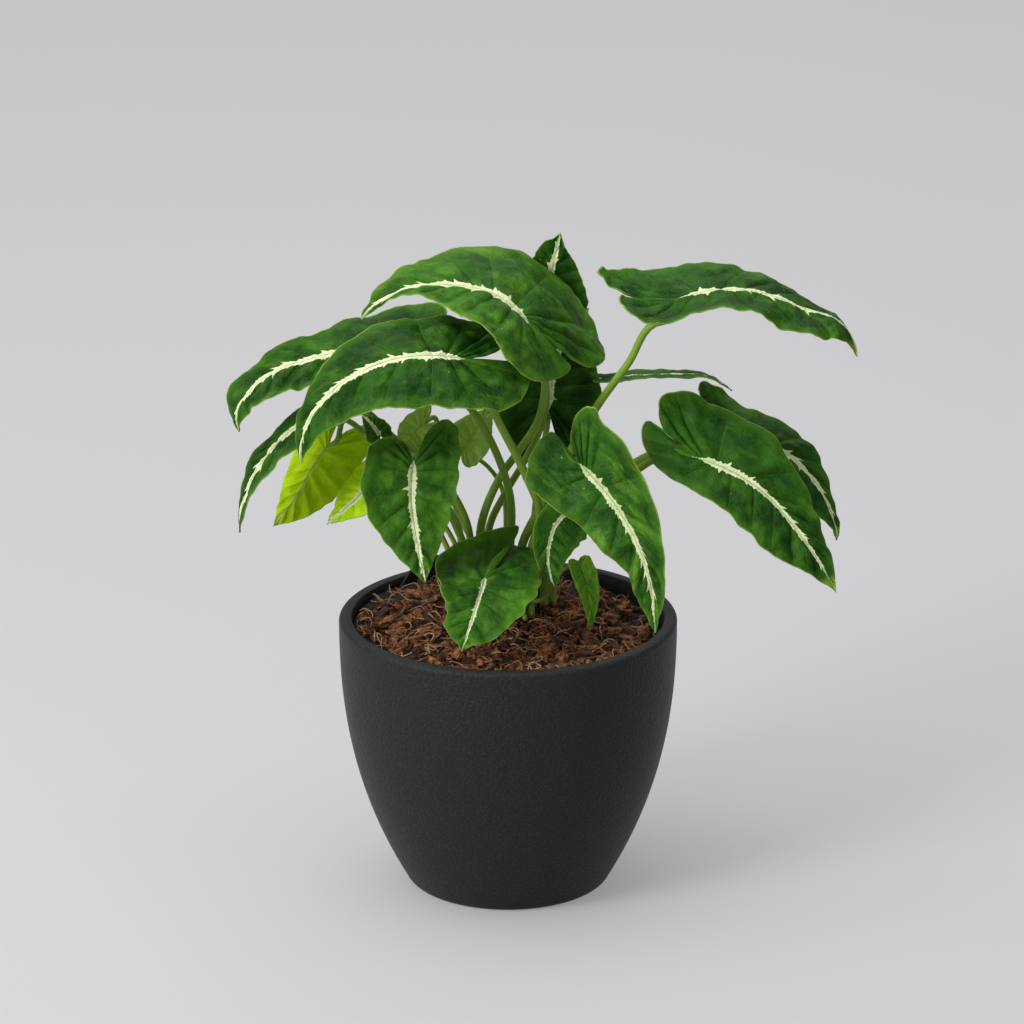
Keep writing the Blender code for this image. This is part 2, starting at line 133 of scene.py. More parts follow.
# Soil
SOIL_LEVEL = 117.2
SOIL_TILT_X = -0.04
SOIL_TILT_Y = 0.05
SOIL_CROWN = 2.5
SOIL_CROWN_SPREAD = 28.0
CROWN_CENTRE = (-2.0, 22.0)
SOIL_EDGE = 68.8
SOIL_EDGE_AT_LUG = 66.4
SOIL_DEPTH = 2.0
SOIL_RINGS = 64
SOIL_SPOKES = 200
LUG_CENTRE = math.radians(112)
LUG_HALF_WIDTH = math.radians(30)
GROUND_RISE = 1.3
GROUND_DROP = 1.2
GROUND_RATE = 0.16
GROUND_NOISE = (0.8, 2.1, 4)

# Bark chips: widths and depths are in lengths
CHIPS = 1000
CHIP_SEED = 4
CHIP_LENGTHS = (3.0, 13.0, 5.0)
CHIP_WIDTHS = (0.4, 0.8)
CHIP_DEPTHS = (0.2, 0.42)
CHIP_TIP = 0.8
CHIP_LIFTS = (-0.8, 2.2)
CHIP_CLEARANCE = 0.6
CHIP_SIDES = 6
CHIP_REACHES = (0.6, 1.15)
CHIP_CHIPPING = (0.8, 1.1)
CHIP_HEIGHTS = (0.6, 1.0)

# Coir fibres
FIBRES = 560
FIBRE_SEED = 9
FIBRE_SHARES = (0.30, 0.42, 0.28)
FIBRE_CLEARANCE = 3.0
FIBRE_TURN = 0.16
FIBRE_WANDER = 0.2
FIBRE_STEPS = (0.8, 1.9)
FIBRE_RISES = (0.6, 3.8)
FIBRE_COUNTS = (8, 16)
FIBRE_LEAST = 4
FIBRE_LIFT = 0.8
FIBRE_RADII = (0.14, 0.28)
FIBRE_TIP = 0.4
FIBRE_SIDES = 5

# Planter
TAPER = 31.0
TAPER_POWER = 2.4
WALL = 5.7
FLOOR = 7.0
WALL_FOOT = 5
WALL_TOP = 118
INNER_STEPS = 30
OUTER_STEPS = 44
ARC_STEPS = 9
RIM_ROUND = 2.0
RIM_BEVEL = 0.4
FOOT_ROUND = 6.0
PLANTER_STEPS = 192

# Stage: each light's name, place and size, its power in watts, and the point that it looks at
FLOOR_REACH = 8000.0
FLOOR_GLOW = 0.256
WORLD_LEVEL = 0.33
WORLD_SEEN = 0.25
LIGHTS = [
    ("key", (-1.2, -1.05, 0.95), (0.6, 0.8), 19, (0, 0, 0.15)),
    ("top", (-0.3, -0.1, 1.9), (1.6, 1.6), 19, (0, 0, 0.15)),
    ("back", (0.0, 1.6, 1.6), (2.4, 1.6), 11, (0.0, 1.6, 0.0)),
]

# Leaves. left, right: how that half differs from the plain outline. First how far its margin
# beside the notch lies further out, in half widths, then how many times as wide it is at its
# lobe, shoulder, base, middle and tip.
PLAIN = (0, 1, 1, 1, 1, 1)
Leaf = namedtuple(
    "Leaf",
    "name rib face tip_face half lobe fold tip_fold drop splay curl left right wave finish",
    defaults=[(0, 0), (0, 0), (0, 0), (0.1, 0.1), (0, 0), PLAIN, PLAIN, 1, "leaf"],
)
LEAVES = [
    Leaf("leaf_top_left",
         [(9, -8, 262), (-6, -4, 274), (-26, 0, 277), (-49, -2, 274), (-64, -8, 264)],
         (0.1, -0.25, 1), (-0.5, -0.4, 1), (25, 33), (28, 35), (4, 4), (4, 4), (10, 10),
         (-0.55, 0.25), (-5, -20), left=(-0.1, 1.5, 1, 1, 0.75, 0.35),
         right=(0, 1.5, 1.2, 1.3, 0.92, 0.9), finish="leaf_lush"),
    Leaf("leaf_front_left",
         [(-19, -32, 253), (-53, -39, 254), (-76, -44, 242), (-88, -48, 225), (-89, -50, 212)],
         (0, -0.45, 0.9), (-0.7, -0.6, 0.4), (28, 26), (31, 28), (-8, 0), (-8, 0), (5, -15),
         (-0.3, 0.45), (0, -10), left=(-0.25, 1.15, 1, 0.92, 1, 1), right=(0.2, 1.3, 1, 1, 0.8, 1)),
    Leaf("leaf_left",
         [(-54, 12, 246), (-84, 6, 242), (-106, 0, 235), (-118, -6, 222), (-118, -8, 212)],
         (0, -0.3, 0.95), (-0.9, -0.6, 0.3), (24, 25), (22, 30), (-5, -5), (-5, 0), (10, -20),
         left=(0, 1, 1, 0.75, 0.9, 1.4), right=(0, 1.4, 1.15, 0.65, 0.8, 1.4)),
    Leaf("leaf_low_left", [(-80, 0, 220), (-98, -5, 209), (-113, -12, 190), (-118, -15, 168)],
         (-0.5, -0.3, 0.8), (-0.8, -0.3, 0.5), (17, 15), (15, 15), drop=(10, 10),
         right=(0, 0.85, 1, 0.5, 0.9, 1)),
    Leaf("leaf_backlit_left", [(-79, 22, 197), (-87, 18, 186), (-93, 14, 176), (-104, 8, 163)],
         (-0.1, 0.95, 0.1), (-0.1, 0.95, 0.1), (14, 19), (12, 16), (30, 0), (30, 0), (10, 10),
         left=(0, 1, 1, 0.8, 0.9, 1), finish="leaf_bright"),
    Leaf("leaf_small_left", [(-57, 12, 185), (-65, 10, 177), (-75, 6, 169), (-80, 5, 165)],
         (-0.4, -0.6, 0.5), (-0.4, -0.6, 0.5), (12, 12), (8, 8), finish="leaf_bright"),
    Leaf("leaf_front_heart", [(-41, -18, 202), (-42, -24, 188), (-40, -30, 172), (-36, -38, 153)],
         (0, -0.95, 0.3), (0, -0.95, 0.3), (20, 22), (20, 9), (5, 5), (5, 5),
         left=(0, 1.1, 1, 1, 1, 1), finish="leaf_lush"),
    Leaf("leaf_front_low", [(-10, -23, 150), (-14, -47, 144), (-20, -62, 130)],
         (0, -0.42, 0.9), (0.1, -0.5, 0.9), (25, 22), (40, 36), (5, 5), (5, 5), (0, -45), (0, -0.6),
         left=(-0.2, 1, 1, 1, 1.1, 1.4), right=(0, 1.3, 1, 0.9, 0.85, 1.6), finish="leaf_low"),
    Leaf("leaf_front_right", [(31, -22, 202), (42, -29, 192), (59, -40, 164), (64, -42, 131)],
         (-0.4, -0.8, 0.5), (-0.4, -0.8, 0.5), (20, 26), (13, 20), (30, 5), (30, 5),
         splay=(0.5, -0.4), left=(0, 1.5, 1.1, 1.1, 1, 1), right=(-0.15, 1.25, 0.9, 0.75, 0.6, 0.9),
         finish="leaf_mottled"),
    Leaf("leaf_right", [(82, -16, 203), (111, -27, 191), (127, -34, 174), (143, -42, 150)],
         (0.2, -0.7, 0.7), (0.3, -0.7, 0.6), (22, 24), (25, 28), (5, 0), (5, 0), (-30, 0),
         (0.3, -0.45), left=(0, 1.3, 1.2, 0.95, 0.9, 1), right=(-0.36, 0.75, 0.75, 0.9, 1.2, 1.15),
         finish="leaf_tipped"),
    Leaf("leaf_right_back", [(101, 10, 204), (122, 2, 199), (138, -4, 183), (145, -8, 162)],
         (0.3, -0.5, 0.8), (0.5, -0.5, 0.6), (17, 22), (26, 22), drop=(-60, 0), splay=(0.25, 0.1),
         left=(0, 1.6, 1, 0.95, 0.7, 0.85), finish="leaf_tipped"),
    Leaf("leaf_top_right",
         [(75, 0, 271), (106, -2, 275), (129, -5, 268), (146, -7, 261), (152, -9, 247)],
         (0, -0.1, 1), (0.3, -0.2, 1), (28, 22), (39, 28), (12, 0), (-35, -20), (-55, -50), (0, 0),
         left=(0, 1.05, 1, 0.9, 1.35, 2), right=(-0.2, 1.4, 0.9, 0.95, 1.2, 1.8),
         finish="leaf_tipped"),
    Leaf("leaf_top", [(14, 44, 252), (19, 41, 271), (23, 38, 289)],
         (0, -0.95, 0.3), (0, -0.95, 0.3), (14, 14), (10, 10),
         left=(0, 1, 1, 1, 1, 1.5), right=(0, 1.2, 1.2, 1.3, 1.2, 0.9)),
    Leaf("leaf_edge_on", [(46, 30, 225), (66, 28, 227), (90, 26, 226), (99, 24, 221)],
         (0, 0.12, 0.99), (0, 0.12, 0.99), (11, 11), (8, 8), finish="leaf_narrow"),
    Leaf("leaf_back", [(18, 42, 206), (19, 44, 218), (29, 51, 243), (36, 53, 250)],
         (0, -0.95, 0.3), (0, -0.95, 0.3), (23, 23), (22, 22)),
    Leaf("leaf_back_pale", [(-38, 35, 201), (-42, 37, 196), (-47, 39, 182)],
         (0, -0.95, 0.3), (0, -0.95, 0.3), (14, 8), (10, 10), finish="leaf_pale"),
    Leaf("leaf_back_young", [(-20, 26, 193), (-15, 29, 200), (-7, 33, 210)],
         (0, -0.95, 0.3), (0, -0.95, 0.3), (10, 10), (6, 6), finish="leaf_pale"),
    Leaf("leaf_curled", [(-56, -4, 209), (-59, -8, 215), (-64, -10, 221)],
         (0, -0.95, 0.3), (0, -0.95, 0.3), (6, 6), (4, 4), finish="leaf_narrow"),
    Leaf("leaf_low_centre", [(27, -2, 174), (21, -6, 168), (18, -10, 160), (21, -20, 143)],
         (0.1, -0.95, 0.3), (0.1, -0.95, 0.3), (14, 9), (6, 6), finish="leaf_narrow"),
    Leaf("leaf_low_right", [(31, -12, 153), (35, -20, 143), (36, -28, 127)],
         (0, -0.95, 0.3), (0, -0.95, 0.3), (6, 5), (2, 3), finish="leaf_plain"),
]

STEMS = {
    "stem_left": (-16, 22), "stem_back": (-3, 32), "stem_right": (14, 26), "stem_front": (4, 10),
}
Stalk = namedtuple("Stalk", "leaf stem bearing radius way")
STALKS = [
    Stalk("leaf_top_left", "stem_left", 40, 1.8,
          [(-12, 23, 158), (-3, 22, 182), (5, 18, 195), (14, 9, 214), (12, -2, 248)]),
    Stalk("leaf_front_left", "stem_front", 50, 1.9,
          [(10, 12, 149), (14, 6, 170), (8, 0, 189), (-3, -10, 215), (-11, -22, 235)]),
    Stalk("leaf_left", "stem_back", 300, 1.8,
          [(1, 20, 150), (1, 17, 173), (-3, 15, 189), (-22, 14, 222)]),
    Stalk("leaf_low_left", "stem_left", 100, 1.6,
          [(-19, 16, 164), (-30, 12, 185), (-50, 8, 204), (-68, 4, 219)]),
    Stalk("leaf_backlit_left", "stem_left", 150, 1.5,
          [(-23, 20, 161), (-39, 18, 182), (-60, 18, 200), (-73, 20, 208)]),
    Stalk("leaf_small_left", "stem_left", 205, 1.3, [(-28, 16, 152), (-40, 14, 174)]),
    Stalk("leaf_front_heart", "stem_left", 320, 1.7,
          [(-18, 10, 150), (-27, 0, 175), (-34, -8, 192)]),
    Stalk("leaf_front_low", "stem_front", 250, 1.6, [(-5, -6, 137)]),
    Stalk("leaf_front_right", "stem_front", 355, 1.8, [(15, 5, 155), (20, 5, 172), (25, 1, 186)]),
    Stalk("leaf_right", "stem_right", 290, 1.8,
          [(20, 14, 146), (36, 9, 172), (57, 0, 192), (66, -6, 199)]),
    Stalk("leaf_right_back", "stem_right", 345, 1.8,
          [(24, 20, 146), (38, 15, 173), (62, 11, 195), (82, 13, 200)]),
    Stalk("leaf_top_right", "stem_right", 200, 1.9,
          [(6, 15, 150), (16, 13, 173), (29, 10, 200), (40, 8, 220), (53, 5, 240), (63, 2, 258)]),
    Stalk("leaf_top", "stem_back", 200, 1.6,
          [(-8, 28, 157), (-1, 28, 172), (8, 28, 188), (16, 29, 207), (16, 36, 232)]),
    Stalk("leaf_edge_on", "stem_right", 40, 1.2, [(20, 31, 160), (29, 30, 192), (38, 30, 210)]),
    Stalk("leaf_back", "stem_right", 110, 1.6, [(12, 34, 160), (16, 37, 190)]),
    Stalk("leaf_back_pale", "stem_back", 150, 1.4, [(-18, 36, 150), (-31, 41, 183)]),
    Stalk("leaf_back_young", "stem_back", 90, 1.1, [(-1, 36, 150), (-5, 33, 177), (-15, 29, 188)]),
    Stalk("leaf_curled", "stem_left", 262, 1.1, [(-22, 11, 150), (-38, 7, 180), (-50, 1, 202)]),
    Stalk("leaf_low_centre", "stem_right", 245, 1.3, [(13, 12, 142), (22, 6, 162)]),
    Stalk("leaf_low_right", "stem_front", 310, 1.0, [(14, 2, 130), (25, -4, 147)]),
]


# ---------------------------------------------------------------- camera


def make_camera():
    """A long lens in front of the plant, looking a little down on it."""
    data = bpy.data.cameras.new("camera")
    data.lens = LENS
    data.sensor_width = SENSOR
    data.clip_end = 20
    camera = bpy.data.objects.new("camera", data)
    bpy.context.scene.collection.objects.link(camera)
    back = Vector((0, -math.cos(ELEVATION), math.sin(ELEVATION)))
    camera.location = Vector(AIM) + back * DISTANCE
    camera.rotation_euler = (math.pi / 2 - ELEVATION, 0, 0)
    bpy.context.scene.camera = camera


# ---------------------------------------------------------------- shapes


def unit(vectors):
    """The same directions, each of length one."""
    return vectors / np.linalg.norm(vectors, axis=-1, keepdims=True)


def through(points, at):
    """Points of a smooth curve through the given points, at fractions of the way along it."""
    points = np.asarray(points, float)
    steps = np.linalg.norm(np.diff(points, axis=0), axis=1)
    knots = np.concatenate([[0], np.cumsum(steps)]) / steps.sum()
    slopes = np.gradient(points, knots, axis=0, edge_order=2 if len(points) > 2 else 1)
    start = np.clip(np.searchsorted(knots, at, side="right") - 1, 0, len(points) - 2)
    span = (knots[start + 1] - knots[start])[:, None]
    s = (at - knots[start])[:, None] / span
    return (
        (2 * s**3 - 3 * s**2 + 1) * points[start]
        + (s**3 - 2 * s**2 + s) * span * slopes[start]
        + (3 * s**2 - 2 * s**3) * points[start + 1]
        + (s**3 - s**2) * span * slopes[start + 1]
    )


class Midrib:
    """The curve that a blade grows along, with its direction and the way its upper side looks."""

    def __init__(self, leaf):
        at = np.linspace(0, 1, RIB_STEPS)
        points = through(leaf.rib, at)
        run = np.concatenate([[0], np.cumsum(np.linalg.norm(np.diff(points, axis=0), axis=1))])
        self.length = run[-1]
        self.at = at
        self.points = np.stack([np.interp(at, run / run[-1], column) for column in points.T], 1)
        self.along = unit(np.gradient(self.points, axis=0))
        face = np.outer(1 - at, leaf.face) + np.outer(at, leaf.tip_face)
        self.up = unit(face - (face * self.along).sum(1, keepdims=True) * self.along)

    def read(self, values, at):
        """Values of the curve at fractions of the way along it."""
        return np.stack([np.interp(at, self.at, column) for column in values.T], -1)


def lattice(*parts):
    """Smooth noise, about -1 to 1, at each point whose coordinates are given part by part."""
    places = np.stack(np.broadcast_arrays(*parts), -1).astype(float)
    found = [noise.noise(Vector(place)) for place in places.reshape(-1, 3)]
    return np.array(found).reshape(places.shape[:-1])


def relief(leaf, seed, phase, row, share, x, y):
    """How far each point stands up from the plain blade, which lies flat at (x, y) millimetres.

    The blade sinks along its side veins, where phase is whole, and swells and crumples between.
    """
    size = min(1.0, sum(leaf.half) / FULL_WIDTH)
    from_vein = np.abs(phase - np.round(phase))
    inside = np.clip(y / RIB_FADE, 0, 1)
    crease = -CREASE * np.exp(-((from_vein / CREASE_WIDTH) ** 2)) * inside * (1 - share**3)
    across = np.sin(np.pi * np.clip(share, 0, QUILT_REACH)) ** QUILT_POWER
    quilt = QUILT * (np.sin(np.pi * from_vein) - QUILT_LEVEL) * across
    channel = -CHANNEL * np.exp(-((y / CHANNEL_WIDTH) ** 2))
    crumple = CRUMPLE * lattice(CRUMPLE_RATE * x, CRUMPLE_RATE * y, seed) * inside
    pucker = PUCKER * lattice(PUCKER_RATE * x, PUCKER_RATE * y, seed + 5) * inside
    ends = np.clip(np.minimum(row, 1 - row) / END_FADE, 0, 1)
    wave = LONG_WAVE * lattice(LONG_WAVE_RATE * row, seed, 0)
    wave = wave + SHORT_WAVE * lattice(SHORT_WAVE_RATE * row, seed, 3)
    edge = leaf.wave * wave * ends * share**3
    return size * (quilt + crease + channel + (crumple + pucker) * ends + edge)


def half_blade(leaf, side):
    """One half of a blade as a grid of points, in rows from the notch to the tip, midrib first.

    Each row runs out along a side vein. Also returns two vectors a point for the materials. The
    first says how far along the midrib its row starts and how far out it is, in millimetres, and
    its share of the way to the margin. The second holds its vein number, a seed, and how far along
    the blade it is, in blade lengths, below 0 in the lobes.
    """
    rib = Midrib(leaf)
    seed = sum(map(ord, leaf.name)) % 97 * 7.3 + 50 * side
    rows = LEAST_ROWS + int(ROWS_PER_MM * (rib.length + leaf.lobe[side]))
    columns = LEAST_COLUMNS + int(COLUMNS_PER_MM * leaf.half[side])
    row = np.linspace(0, 1, rows)
    x, y, root = through(OUTLINE, row).T
    x, y, root = np.clip(x, -1, 1), np.clip(y, 0, None), np.clip(root, 0, 1)
    share = np.linspace(0, 1, columns) ** COLUMN_CROWDING
    behind = np.clip(-x, 0, None) / LOBE_SHARE * leaf.lobe[side]
    x = np.where(x < 0, -behind / rib.length, x)
    notch, *widths = (leaf.left, leaf.right)[side]
    for station, width in zip(STATIONS, widths):
        y = y * (1 + (width - 1) * np.exp(-(((row - station) / STATION_SPREAD) ** 2)))
    beside_notch = np.exp(-(((row - NOTCH_STATION) / NOTCH_SPREAD) ** 2))
    y = y + notch * beside_notch * np.clip(row / NOTCH_START, 0, 1)
    phase = VEINS * (row + VEIN_DRIFT * lattice(VEIN_DRIFT_RATE * row, seed, 1))
    ripple = RIPPLE * lattice(RIPPLE_RATE * row, seed, 2)
    y = y * (1 + ripple - SCALLOP * RIPPLE * np.cos(math.tau * phase))
    y = y * leaf.half[side] + leaf.splay[side] * behind**2 / leaf.lobe[side]
    x = root[:, None] + (x - root)[:, None] * share
    y = y[:, None] * share
    row = np.broadcast_to(row[:, None], x.shape)
    phase = np.broadcast_to(phase[:, None], x.shape)
    share = np.broadcast_to(share, x.shape)

    at = np.clip(x, 0, 1)
    middle = rib.read(rib.points, at)
    along = unit(rib.read(rib.along, at))
    up = unit(rib.read(rib.up, at))
    out = np.cross(up, along) * (1 - 2 * side)

    back = np.clip(-x, 0, None)[..., None] * rib.length
    rate = math.radians(leaf.drop[side] + LEAST_BEND) / leaf.lobe[side]
    middle = middle - along * np.sin(rate * back) / rate - up * (1 - np.cos(rate * back)) / rate
    up = up * np.cos(rate * back) - along * np.sin(rate * back)

    fold = np.radians(leaf.fold[side] * (1 - at) + leaf.tip_fold[side] * at)
    bend = math.radians(leaf.curl[side] + LEAST_BEND)
    reach = y / leaf.half[side]
    outward = (np.sin(fold + bend * reach) - np.sin(fold)) / bend * leaf.half[side]
    upward = (np.cos(fold) - np.cos(fold + bend * reach)) / bend * leaf.half[side]
    upward = upward + relief(leaf, seed, phase, row, share, x * rib.length, y)
    points = middle + out * outward[..., None] + up * upward[..., None]
    start = np.broadcast_to(root[:, None] * rib.length, x.shape)
    flat = np.stack([start, y * (1 - 2 * side), share], -1)
    veins = np.stack([phase, np.full(x.shape, seed), x], -1)
    return points, flat, veins


def quads(rows, columns, flip=False):
    """Corner numbers of a grid's faces."""
    corner = np.arange(rows - 1)[:, None] * columns + np.arange(columns - 1)
    corners = [corner, corner + columns, corner + columns + 1, corner + 1]
    faces = np.stack(corners, -1).reshape(-1, 4)
    return faces[:, ::-1] if flip else faces


def mesh_of(name, points, faces, attributes=None):
    """A smooth mesh in metres from points in millimetres, its doubled points joined."""
    points = np.asarray(points, float)
    rounded = np.round(points, 4)
    _, first, merged = np.unique(rounded, axis=0, return_index=True, return_inverse=True)
    merged = merged.reshape(-1)
    kept = []
    for face in np.asarray(faces).tolist():
        corners = list(dict.fromkeys(int(merged[corner]) for corner in face))
        if len(corners) > 2:
            kept.append(corners)
    data = bpy.data.meshes.new(name)
    data.from_pydata((points[first] * MM).tolist(), [], kept)
    for key, values in (attributes or {}).items():
        layer = data.attributes.new(key, "FLOAT_VECTOR", "POINT")
        layer.data.foreach_set("vector", np.asarray(values, np.float32)[first].ravel())
    data.update()
    data.shade_smooth()
    return data


def add_piece(name, data, materials, replaced=()):
    """Puts a piece in the scene, riding on the part's one body."""
    obj = bpy.data.objects.new(name, data)
    bpy.context.scene.collection.objects.link(obj)
    for material in materials:
        data.materials.append(material)
    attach(obj, "root")
    if replaced:
        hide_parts(*replaced)
    return obj


def tube(line, radii, sides):
    """Points and faces of a tube along a line, closed at its ends, and each point's place on it."""
    line = np.asarray(line, float)
    along = unit(np.gradient(line, axis=0))
    helper = np.array([0.0, 1.0, 0.0]) if abs(along[0][1]) < 0.8 else np.array([1.0, 0.0, 0.0])
    side = unit(np.cross(along[0], helper))
    points, place = [], []
    run = np.concatenate([[0], np.cumsum(np.linalg.norm(np.diff(line, axis=0), axis=1))])
    for centre, direction, radius, distance in zip(line, along, radii, run):
        side = unit(side - direction * (side @ direction))
        other = np.cross(direction, side)
        for number in range(sides):
            angle = math.tau * number / sides
            points.append(centre + radius * (side * math.cos(angle) + other * math.sin(angle)))
            place.append((distance, math.cos(angle), math.sin(angle)))
    faces = []
    for ring in range(len(line) - 1):
        for number in range(sides):
            following = (number + 1) % sides
            low, high = ring * sides, (ring + 1) * sides
            faces.append((low + number, low + following, high + following, high + number))
    faces.append(tuple(range(sides - 1, -1, -1)))
    faces.append(tuple(range((len(line) - 1) * sides, len(line) * sides)))
    return points, faces, place


def soil_height(x, y):
    """The height of the plain tilted heap that the soil forms."""
    dx, dy = x - CROWN_CENTRE[0], y - CROWN_CENTRE[1]
    heap = SOIL_CROWN * math.exp(-(dx * dx + dy * dy) / SOIL_CROWN_SPREAD**2)
    return SOIL_LEVEL + SOIL_TILT_X * x + SOIL_TILT_Y * y + heap


# ---------------------------------------------------------------- materials

# Leaves: dark, light and edge colours, how mottled, how wide the cream band, how much light goes in
LUSH = ((0.018, 0.080, 0.006), (0.056, 0.190, 0.012), (0.150, 0.360, 0.018))
LOOKS = {
    "leaf": (
        (0.009, 0.048, 0.004), (0.031, 0.122, 0.008), (0.098, 0.265, 0.012), 0.35, 1.0, 0.10,
    ),
    "leaf_lush": (*LUSH, 0.45, 1.0, 0.12),
    "leaf_low": (*LUSH, 0.45, 0.6, 0.12),
    "leaf_mottled": (
        (0.014, 0.070, 0.007), (0.045, 0.165, 0.014), (0.150, 0.340, 0.022), 0.85, 1.0, 0.12,
    ),
    "leaf_narrow": (
        (0.014, 0.065, 0.005), (0.044, 0.160, 0.010), (0.130, 0.310, 0.016), 0.45, 0.5, 0.12,
    ),
    # This finish carries the painted highlight on the tip that leaf_finish draws with TIP
    "leaf_tipped": (
        (0.009, 0.050, 0.004), (0.031, 0.125, 0.008), (0.098, 0.270, 0.012), 0.35, 0.8, 0.10,
    ),
    "leaf_plain": (
        (0.030, 0.105, 0.003), (0.075, 0.190, 0.006), (0.150, 0.310, 0.012), 0.50, 0.0, 0.15,
    ),
    # Painted light: this finish's bright yellow-green colours stand in for light shining through a
    # backlit blade
    "leaf_bright": (
        (0.330, 0.600, 0.002), (0.560, 0.860, 0.005), (0.680, 0.900, 0.012), 0.70, 1.0, 0.30,
    ),
    "leaf_pale": (
        (0.280, 0.430, 0.060), (0.420, 0.580, 0.120), (0.520, 0.660, 0.200), 0.40, 0.0, 0.30,
    ),
}
BARK = {
    "bark_dark": ((0.012, 0.0045, 0.002), (0.11, 0.040, 0.014)),
    "bark_red": ((0.050, 0.016, 0.005), (0.50, 0.190, 0.058)),
    "bark_brown": ((0.026, 0.009, 0.0035), (0.30, 0.115, 0.038)),
}
COIR = {
    "coir_tan": ((0.44, 0.22, 0.10), (0.84, 0.54, 0.31)),
    "coir_brown": ((0.27, 0.110, 0.042), (0.55, 0.26, 0.115)),
    "coir_dark": ((0.09, 0.034, 0.012), (0.28, 0.115, 0.046)),
}
STALK_LINES = (0.32, 0.52, 0.08)

# The cream band: teeth and spikes to a millimetre, how sharp they are and how far out they reach
TOOTH_RATE = 0.5
TOOTH_SHARPNESS = 2.6
TOOTH_REACH = 0.85
LEAST_TOOTH = 0.15
SPIKE_RATE = 0.13
SPIKE_SHARPNESS = 9.0
SPIKE_REACH = 3.0
SWELL_RATE = 0.10
SWELL = 1.6
LEAST_BAND = 1.1

# How many cells of each pattern go in a metre
BLOTCH_SCALE = 70
NET_SCALE = 300
FLECK_SCALE = 120
SKIN_SCALE = 260
PORE_SCALE = 900
PLANTER_GRAIN_SCALE = 900
PLANTER_FINE_SCALE = 850
PLANTER_SHEEN_SCALE = 420
SPECK_SCALE = 520
SOIL_SCALE = 300
BARK_SCALE = 450
COIR_SCALE = 500

LEAF_SPECULAR = 0.095
STALK_SPECULAR = 0.25
PLANTER_SPECULAR = 0.14

CREAM = (0.82, 0.90, 0.53)
STREAK = (0.66, 0.78, 0.38)
LINE = (0.36, 0.54, 0.15)
MARGIN = (0.30, 0.46, 0.08)
RAISED = (0.52, 0.64, 0.22)
FLECK = (0.75, 0.85, 0.65)
# TIP is a painted highlight: the lighter colour put on a blade's last tenth stands in for curled tips
# catching the light
TIP = (0.20, 0.36, 0.02)


class Finish:
    """A material's node tree, with short calls to add to it."""

    def __init__(self, name, roughness):
        self.material = bpy.data.materials.new(name)
        self.material.use_nodes = True
        self.tree = self.material.node_tree
        self.shader = self.tree.nodes["Principled BSDF"]
        self.shader.inputs["Roughness"].default_value = roughness

    def add(self, kind, inputs=None, **settings):
        """A new node, its settings made and its inputs fed."""
        made = self.tree.nodes.new("ShaderNode" + kind)
        for key, value in settings.items():
            setattr(made, key, value)
        for key, value in (inputs or {}).items():
            self.feed(made.inputs[key], value)
        return made

    def feed(self, socket, value):
        """A link from a socket, or a plain value."""
        if isinstance(value, bpy.types.NodeSocket):
            self.tree.links.new(value, socket)
        else:
            socket.default_value = value

    def math(self, operation, first, second=0.0, third=0.0, clamp=False):
        made = self.add("Math", operation=operation, use_clamp=clamp)
        for socket, value in zip(made.inputs, (first, second, third)):
            self.feed(socket, value)
        return made.outputs[0]

    def times(self, first, second, clamp=False):
        return self.math("MULTIPLY", first, second, clamp=clamp)

    def ramp(self, value, low, high):
        """0 below low, 1 above high, smooth between them."""
        made = self.add("MapRange", {"Value": value, "From Min": low, "From Max": high})
        made.interpolation_type = "SMOOTHSTEP"
        return made.outputs["Result"]

    def mix(self, share, first, second):
        """The first colour at share 0, the second at 1."""
        made = self.add("Mix", data_type="RGBA")
        self.feed(made.inputs["Factor"], share)
        for name, value in (("A", first), ("B", second)):
            socket = [s for s in made.inputs if s.name == name and s.type == "RGBA"][0]
            self.feed(socket, value if isinstance(value, bpy.types.NodeSocket) else (*value, 1))
        return [s for s in made.outputs if s.type == "RGBA"][0]

    def noise(self, place, scale, detail=3.0, roughness=0.5):
        """Cloudy noise, 0 to 1, with so many cells to one unit of the place."""
        facts = {"Vector": place, "Scale": scale, "Detail": detail, "Roughness": roughness}
        return self.add("TexNoise", facts).outputs["Fac"]

    def place(self):
        """Where the point is on its piece, in metres."""
        return self.add("TexCoord").outputs["Object"]

    def attribute(self, name):
        """The three parts of a named vector that the mesh carries."""
        read = self.add("Attribute", attribute_name=name)
        parts = self.add("SeparateXYZ", {"Vector": read.outputs["Vector"]})
        return parts.outputs["X"], parts.outputs["Y"], parts.outputs["Z"]

    def vector(self, x, y, z):
        return self.add("CombineXYZ", {"X": x, "Y": y, "Z": z}).outputs[0]

    def bump(self, height, depth_mm, strength=1.0):
        made = self.add("Bump", {"Height": height, "Distance": depth_mm * MM, "Strength": strength})
        self.feed(self.shader.inputs["Normal"], made.outputs["Normal"])

    def colour(self, value):
        self.feed(self.shader.inputs["Base Color"], value)

    def rough(self, value):
        self.feed(self.shader.inputs["Roughness"], value)


